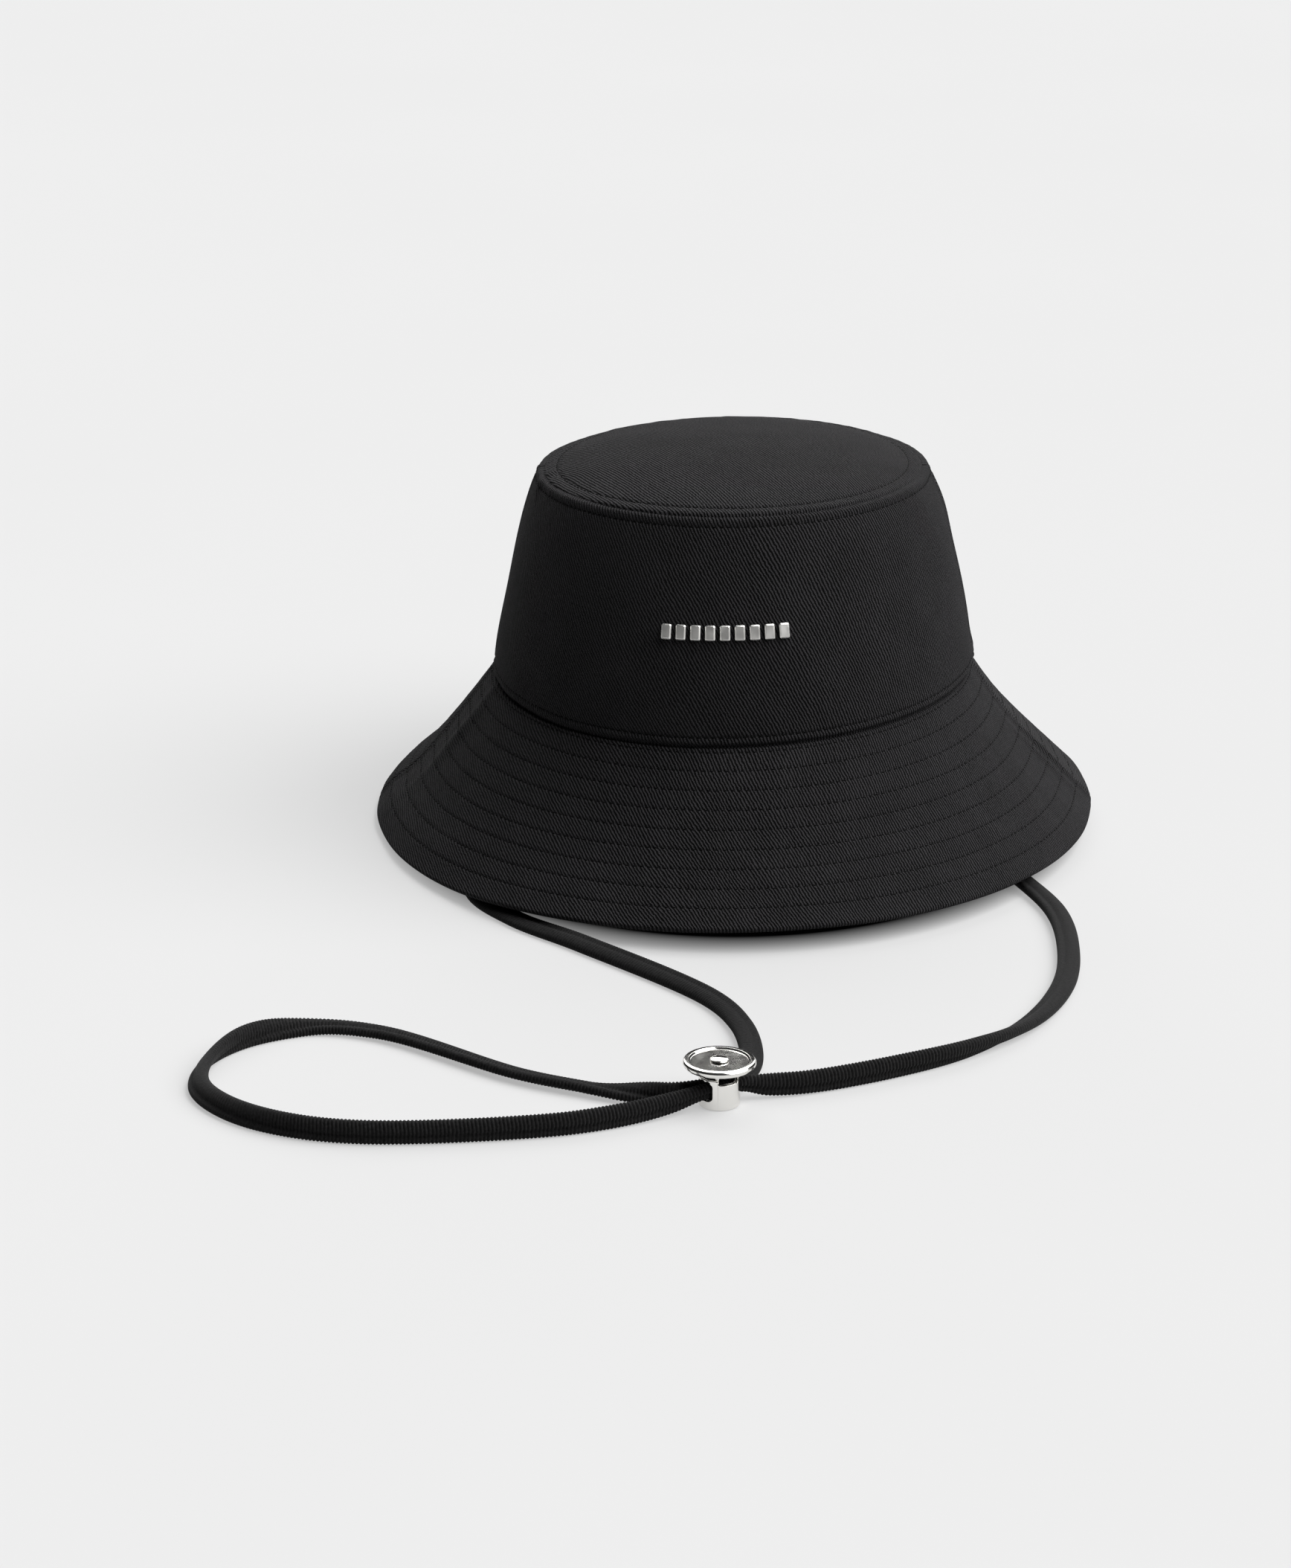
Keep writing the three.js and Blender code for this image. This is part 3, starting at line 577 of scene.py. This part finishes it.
def chin_cord():
    """A flat ribbed tube that rests on the floor where its route does, its middle line and its length."""
    rough = smooth_route(CORD_STOPS, 24)
    rise = np.radians(rough[:, 3])
    resting = np.hypot(rough[:, 4] / 2 * np.sin(rise), rough[:, 5] / 2 * np.cos(rise))
    rough[:, 2] = np.maximum(rough[:, 2], resting + CORD_CLEARANCE)
    length = along(rough)[-1]
    distances = np.linspace(0, length, int(length / CORD_STEP))
    route = resample(rough, rough, distances)
    middle, rise = route[:, :3], np.radians(route[:, 3])[:, None]
    tangent = unit(np.gradient(middle, axis=0))
    level = unit(np.cross(tangent, [0, 0, 1]))
    upright = np.cross(level, tangent)
    across = level * np.cos(rise) + upright * np.sin(rise)
    through = np.cross(tangent, across)
    turn = np.linspace(0, 2 * math.pi, CORD_SIDES, endpoint=False)
    flat = np.sign(np.cos(turn)) * np.abs(np.cos(turn)) ** 0.8
    thick = np.sign(np.sin(turn)) * np.abs(np.sin(turn)) ** 0.8
    rib = np.abs(np.sin(math.pi * (distances[:, None] / CORD_RIB + 0.4 * flat**2))) ** 0.7
    crease = dent(flat + 0.38, CORD_CREASE_DEPTH, 0.17)
    inset = CORD_RIB_DEPTH * (1 - rib) * route[:, 6, None] + crease
    wide = (route[:, 4, None] / 2 - inset) * flat
    high = (route[:, 5, None] / 2 - inset) * thick
    rings = middle[:, None] + across[:, None] * wide[..., None] + through[:, None] * high[..., None]
    rings[..., 2] = np.maximum(rings[..., 2], 0.00003)
    count, sides = rings.shape[:2]
    index = np.arange(count * sides).reshape(count, sides)
    beside = np.roll(index, -1, axis=1)
    faces = np.stack([index[:-1], beside[:-1], beside[1:], index[1:]], -1).reshape(-1, 4).tolist()
    faces += [index[0][::-1].tolist(), index[-1].tolist()]
    cord = make_piece("chin_cord_knit", rings.reshape(-1, 3), faces, CORD_KNIT, "cord_weave")
    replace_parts(cord, "chin_cord")
    return cord, middle[::12].tolist(), length


cord, cord_path, cord_length = chin_cord()

# ---- cloth ----

CROWN_LINES = [0, BASE_STITCH, CROWN_SLOPE - SIDE_STITCH, CROWN_SLOPE]
CROWN_PLACES = spaced(CROWN_SLOPE, CROWN_LINES, 0.0018, 0.0003, 0.0022)
CROWN_SHARES = np.concatenate([[-ALLOWANCE, -ALLOWANCE / 2], CROWN_PLACES]) / CROWN_SLOPE
BRIM_LINES = [0, BRIM_EDGE_STITCH, *BRIM_ROWS]
BRIM_SHARES = spaced(BRIM_SLOPE - EDGE_ROLL, BRIM_LINES, 0.0011, 0.00035, 0.0017) / BRIM_SLOPE


def crown_panel(name, ends, node):
    angles = panel_angles(*ends, 0.0012, 0.0004, 0.095)
    piece = layer(name, crown_side, angles, CROWN_SHARES, 0, CLOTH, TWILL, "twill", crown_relief)
    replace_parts(piece, node)


def brim_profile(side):
    """Shares and depths of a brim cloth's skin and back, round the turned edge to the seam in its middle."""
    turns = np.radians(np.linspace(8, 96 if side > 0 else 76, 11))
    tuck = np.linspace(0, 1, len(turns)) ** 4 * 0.0003
    rolls = []
    for radius in (EDGE_ROLL - tuck, EDGE_ROLL - CLOTH - tuck / 2):
        share = 1 - (EDGE_ROLL - radius * np.sin(turns)) / BRIM_SLOPE
        depth = EDGE_ROLL - side * radius * np.cos(turns)
        rolls.append((share, depth))
    flat = np.full_like(BRIM_SHARES, EDGE_ROLL - side * EDGE_ROLL)
    (skin_share, skin_depth), (back_share, back_depth) = rolls
    return (
        np.concatenate([BRIM_SHARES, skin_share]), np.concatenate([flat, skin_depth]),
        np.concatenate([BRIM_SHARES, back_share]), np.concatenate([flat + side * CLOTH, back_depth]),
    )


def brim_panel(name, ends, side, node, coarse):
    """side is 1 for the upper cloth and -1 for the lower one."""
    angles = panel_angles(*ends, coarse, 0.0005)
    skin_share, skin_depth, back_share, back_depth = brim_profile(side)
    grids = []
    for shares, depths in ((skin_share, skin_depth), (back_share, back_depth)):
        angle, share = np.meshgrid(angles, shares, indexing="ij")
        points, out = brim(angle, share), outward(brim, angle, share)
        fade = np.clip((1 - share) * BRIM_SLOPE / 0.004, 0, 1)
        relief = brim_relief(points, angle, share)
        shared = brim_drape(points, angle, share)
        relief = shared + (relief - shared) * fade * (1 if side > 0 else -UNDERSIDE_RELIEF)
        grids.append(points - out * (depths + relief)[..., None])
    share = np.broadcast_to(skin_share, (len(angles), len(skin_share)))
    pattern = ruled_pattern(brim, angles, share, -1)
    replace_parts(sheet(name, *grids, pattern, TWILL, "twill"), node)


def disc(name, rings, depth, thickness, material, slot, relief, rim=0.0):
    """A closed oval sheet on the crown tip. Its grid is a square one bent round, so it has no pole."""
    count = len(rings) - 1
    a, b = np.meshgrid(np.arange(-count, count + 1), np.arange(-count, count + 1), indexing="ij")
    ring = np.maximum(np.abs(a), np.abs(b))
    reach = rings[count - ring]
    flatter = np.abs(a) >= np.abs(b)
    greater = np.where(flatter, a, b)
    lesser = np.where(flatter, b, a) / np.where(ring == 0, 1, greater)
    angle = np.where(flatter, math.pi / 4 * lesser, math.pi / 2 - math.pi / 4 * lesser)
    angle = np.where(greater < 0, angle + math.pi, angle)
    share = 1 - reach * (1 - rim)
    points, out = crown_tip(angle, share), outward(crown_tip, angle, share)
    near_middle = (share > 0.93)[..., None]  # where the surface's own normals swing about
    out = np.where(near_middle, unit(out * [0.2, 0.2, 1]), out)
    sunk = depth + relief(points, angle, share)
    skin, back = points - out * sunk[..., None], points - out * (sunk + thickness)[..., None]
    return sheet(name, skin, back, points[..., :2].copy(), material, slot)


def tip_rings(coarse, fine):
    """Distances from the tip's middle, from 1 at the seam to 0, closer at the seam and its stitching."""
    radius = TIP_RING["y"]
    return 1 - spaced(radius, [0, TIP_STITCH], coarse, fine, 0.002) / radius


def faint_waves(points, angle, share):
    """The small unevenness of a cloth that lies flat."""
    return 0.0002 * ripples(points, 7, 0.02, 0.05)


crown_panel("crown_front_panel", FRONT, "crown_side_front")
crown_panel("crown_back_panel", BACK, "crown_side_back")
brim_panel("brim_upper_front", FRONT, 1, "brim_top_front", 0.0013)
brim_panel("brim_upper_back", BACK, 1, "brim_top_back", 0.0013)
brim_panel("brim_lower_front", FRONT, -1, "brim_under_front", 0.0022)
brim_panel("brim_lower_back", BACK, -1, "brim_under_back", 0.0022)
tip = disc("crown_top_panel", tip_rings(0.0012, 0.0003), 0, CLOTH, TWILL, "twill", tip_relief)
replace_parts(tip, "crown_tip")

# ---- what the hat holds inside ----

LINING_DEPTH = 0.0034
LINING_CLOTH = 0.0003


def slack(points, angle, share):
    """The loose lining of the crown side."""
    return 0.00025 * ripples(points, 8, 0.012, 0.04)


def arc(middle, half_width, count):
    """Angles on both sides of a middle one."""
    return np.linspace(middle - half_width, middle + half_width, count)


def crown_linings():
    all_round = np.linspace(*ROUND, 260)
    lining = layer("lining_side_cloth", crown_side, all_round, np.linspace(0.39, 0.972, 40),
                   LINING_DEPTH, LINING_CLOTH, LINING, "lining", slack)
    band = layer("sweatband_cloth", crown_side, all_round, np.linspace(0.008, 0.36, 24),
                 0.0014, 0.001, TAPE, "sweatband_tape")
    label = layer("size_label_blank", crown_side, arc(0.5 * math.pi, 0.12, 24), np.linspace(0.1, 0.3, 16),
                  0.00285, 0.0003, SATIN, "label_tape", faint_waves)
    behind_studs = arc(1.5 * math.pi, 0.307, 60)
    backing = layer("stud_backing_nonwoven", crown_side, behind_studs, np.linspace(0.455, 0.56, 14),
                    0.0015, 0.0005, NONWOVEN, "interfacing")
    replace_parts(lining, "lining_side")
    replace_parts(band, "sweatband")
    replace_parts(label, "size_label")
    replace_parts(backing, "stud_backing_strip")


def brim_stiffeners():
    for half, (start, end) in (("front", FRONT), ("back", BACK)):
        angles = np.linspace(start + STIFFENER_GAP, end - STIFFENER_GAP, 160)
        piece = layer(f"brim_stiffener_{half}", brim, angles, np.linspace(0.01, 0.965, 40),
                      0.00105, 0.0004, NONWOVEN, "interfacing", brim_drape, -1)
        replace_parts(piece, f"brim_interlining_{half}")


def tip_lining():
    rings = tip_rings(0.003, 0.003)
    piece = disc("lining_top_cloth", rings, LINING_DEPTH, LINING_CLOTH, LINING, "lining", faint_waves, 0.05)
    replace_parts(piece, "lining_tip")


crown_linings()
brim_stiffeners()
tip_lining()


def tape_tab(side):
    """A short doubled tape with soft edges, sewn in above the brim seam to hold one end of the cord."""
    low, high = (np.array(corner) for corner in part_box(f"cord_tab_{side}"))
    middle, half = (low + high) / 2, (high - low) / 2
    u, v = np.meshgrid(np.linspace(-1, 1, 40), np.linspace(-1, 1, 34), indexing="ij")
    round_edge = ((1 - u**8) * (1 - v**8)) ** 0.25 * 0.85 + 0.15
    faces = []
    for way in (1, -1):
        points = np.stack([np.zeros_like(u), u * half[1], v * half[2]], -1) + middle
        thick = half[0] * round_edge - 0.00005 * (1 + ripples(points, 9, 0.002, 0.005))
        points[..., 0] += way * (thick - 0.00025 * dent(np.abs(v) - 0.72, 1, 0.08))
        faces.append(points)
    pattern = np.stack([u * half[1], v * half[2]], -1)
    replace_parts(sheet(f"cord_tab_tape_{side}", *faces, pattern, TAPE, "sweatband_tape"), f"cord_tab_{side}")


tape_tab("left")
tape_tab("right")

# ---- sewing threads ----

STITCH_RINGS = np.linspace(-0.94, 0.94, 6)  # places of a stitch's rings, from one end to the other
STITCH_SIDES = 6


def stitches(line, normals):
    """Vertices and faces of a row of stitches: short arched threads that dive into the cloth at both ends."""
    length = along(line)[-1]
    count = int(length / STITCH_PITCH)
    centres = (np.arange(count) + 0.5) * length / count
    places = centres[:, None] + STITCH_RINGS * STITCH_LENGTH / 2
    middle = resample(line, line, places.ravel()).reshape(count, -1, 3)
    out = unit(resample(normals, line, places.ravel()).reshape(count, -1, 3))
    ahead = unit(middle[:, -1] - middle[:, 0])[:, None]
    sideways = unit(np.cross(out, ahead))
    lift = (0.00008 - 0.0004 * np.abs(STITCH_RINGS) ** 3)[None, :, None]
    radius = (THREAD * np.sqrt(1 - 0.8 * STITCH_RINGS**2))[None, :, None, None]
    turn = np.linspace(0, 2 * math.pi, STITCH_SIDES, endpoint=False)[None, None, :, None]
    around = sideways[:, :, None] * np.cos(turn) + out[:, :, None] * np.sin(turn)
    vertices = (middle + out * lift)[:, :, None] + around * radius
    rings = len(STITCH_RINGS)
    index = np.arange(rings * STITCH_SIDES).reshape(rings, STITCH_SIDES)
    beside = np.roll(index, -1, axis=1)
    tube = np.stack([index[:-1], beside[:-1], beside[1:], index[1:]], -1).reshape(-1, 4)
    one = [*tube.tolist(), index[0][::-1].tolist(), index[-1].tolist()]
    faces = [[corner + i * index.size for corner in face] for i in range(count) for face in one]
    return vertices.reshape(-1, 3), faces


def row_on(surface, relief, distance, slope, depth=0.0, side=1):
    """A line once round a surface at a distance from its first seam, and the normals along it."""
    angle = np.linspace(0, 2 * math.pi, 900)
    share = np.broadcast_to(distance / slope, angle.shape)
    points, out = surface(angle, share), outward(surface, angle, share)
    sunk = depth + (relief(points, angle, share) if relief else 0 * angle)
    return points - out * sunk[:, None], out * side


def sew(name, rows):
    """All the stitches of some rows as one piece."""
    vertices, faces, offset = [], [], 0
    for line, normals in rows:
        some, these = stitches(line, normals)
        vertices.append(some)
        faces += [[corner + offset for corner in face] for face in these]
        offset += len(some)
    return make_piece(name, np.concatenate(vertices), faces, THREAD_BLACK, "twill")


def under_relief(points, angle, share):
    """The relief of the lower cloth, whose grooves face the other way."""
    shared = brim_drape(points, angle, share)
    return shared - UNDERSIDE_RELIEF * (brim_relief(points, angle, share) - shared)


def tip_row():
    """The line of the stitching beside the tip's seam, and the normals along it."""
    angle = np.linspace(0, 2 * math.pi, 900)
    share = TIP_STITCH / np.linalg.norm(seam_ring(TIP_RING, angle)[:, :2], axis=-1)
    points, out = crown_tip(angle, share), outward(crown_tip, angle, share)
    return points - out * tip_relief(points, angle, share)[:, None], out


sew("brim_row_threads", [row_on(brim, brim_relief, row, BRIM_SLOPE) for row in BRIM_ROWS])
sew("brim_seam_thread", [row_on(brim, brim_relief, BRIM_EDGE_STITCH, BRIM_SLOPE)])
sew("brim_underside_threads", [
    row_on(brim, under_relief, row, BRIM_SLOPE, depth=2 * EDGE_ROLL, side=-1) for row in BRIM_ROWS
])
sew("crown_base_thread", [row_on(crown_side, crown_relief, BASE_STITCH, CROWN_SLOPE)])
sew("crown_shoulder_thread", [row_on(crown_side, crown_relief, CROWN_SLOPE - SIDE_STITCH, CROWN_SLOPE)])
sew("crown_top_thread", [tip_row()])
sew("sweatband_thread", [row_on(crown_side, None, 0.004, CROWN_SLOPE, depth=0.0024, side=-1)])

# ---- metal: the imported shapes, with their edges rounded ----


def round_edges(node, width, material):
    """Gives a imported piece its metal, and edges that catch the light."""
    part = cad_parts[node]
    part.data.materials.clear()
    part.data.materials.append(material)
    weld = part.modifiers.new("weld", "WELD")
    weld.merge_threshold = 1e-6
    bevel = part.modifiers.new("bevel", "BEVEL")
    bevel.width = width
    bevel.segments = 3
    bevel.limit_method = "ANGLE"
    bevel.angle_limit = math.radians(30)
    part.modifiers.new("normals", "WEIGHTED_NORMAL")
    part.data.polygons.foreach_set("use_smooth", [True] * len(part.data.polygons))


for number in range(1, 10):
    round_edges(f"stud_{number}", 0.00012, BRUSHED)
for node in ("lock_barrel", "lock_plunger", "lock_cap", "lock_rivet"):
    round_edges(node, 0.0001, POLISHED)
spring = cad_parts["lock_spring"]
spring.data.materials.clear()
spring.data.materials.append(STEEL)

# ---- floor and light ----

FLOOR = 0.183  # how much light the floor throws back
FLOOR_PAINTED_GLOW = 0.43  # painted light: the floor glows, though it is no lamp, which keeps the hat's cast shadows faint
LEFT_OVER = 0.03  # light from all round, as a share of a white wall


def floor_material():
    """Painted light: the floor glows, though it is no lamp, and so fills the hat's shadows. The glow stops
    under the brim, which keeps the shade there dark.
    """
    g = Graph("pale_floor", Roughness=0.9, Specular_IOR_Level=0.0)
    g.shader.inputs["Emission Color"].default_value = (1, 1, 1, 1)
    place = g.add("ShaderNodeTexCoord").outputs["Object"]
    shrunk = {0: place, 1: (1 / EDGE_RING["x"], 1 / EDGE_RING["y"], 0)}
    oval = g.add("ShaderNodeVectorMath", shrunk, operation="MULTIPLY").outputs[0]
    reach = g.add("ShaderNodeVectorMath", {0: oval}, operation="LENGTH").outputs["Value"]
    # painted light: the floor's emission, zero under the brim and full just outside its edge
    g.tree.links.new(g.spread(reach, 0.88, 0.99, 0.0, FLOOR_PAINTED_GLOW), g.shader.inputs["Emission Strength"])
    return g.finish(g.blend(g.noise(place, 3.0), (FLOOR - 0.005,) * 3, (FLOOR + 0.005,) * 3))


def stage():
    mesh = bpy.data.meshes.new("floor")
    size = 12.0  # half of its side, so that its edges lie far out of view
    corners = [(-size, -size, 0), (size, -size, 0), (size, size, 0), (-size, size, 0)]
    mesh.from_pydata(corners, [], [(0, 1, 2, 3)])
    mesh.materials.append(floor_material())
    floor = bpy.data.objects.new("floor", mesh)
    bpy.context.scene.collection.objects.link(floor)


def soft_sun(name, azimuth, elevation, strength, spread):
    """A far, wide light. The azimuth runs round +Z from +X, and strength is its energy over pi."""
    light = bpy.data.lights.new(name, "SUN")
    light.energy = strength * math.pi
    light.angle = math.radians(spread)
    lamp = bpy.data.objects.new(name, light)
    turn, rise = math.radians(azimuth), math.radians(elevation)
    direction = Vector((math.cos(rise) * math.cos(turn), math.cos(rise) * math.sin(turn), math.sin(rise)))
    lamp.rotation_mode = "QUATERNION"
    lamp.rotation_quaternion = direction.to_track_quat("Z", "Y")
    bpy.context.scene.collection.objects.link(lamp)


def studio():
    world = bpy.data.worlds.new("studio")
    world.use_nodes = True
    background = world.node_tree.nodes["Background"]
    background.inputs[0].default_value = (1, 1, 1, 1)
    background.inputs[1].default_value = LEFT_OVER
    bpy.context.scene.world = world
    soft_sun("right", -10, 50, 2.3, 60)
    soft_sun("behind", 90, 40, 0.86, 60)
    bpy.context.scene.view_settings.view_transform = "Standard"


stage()
studio()
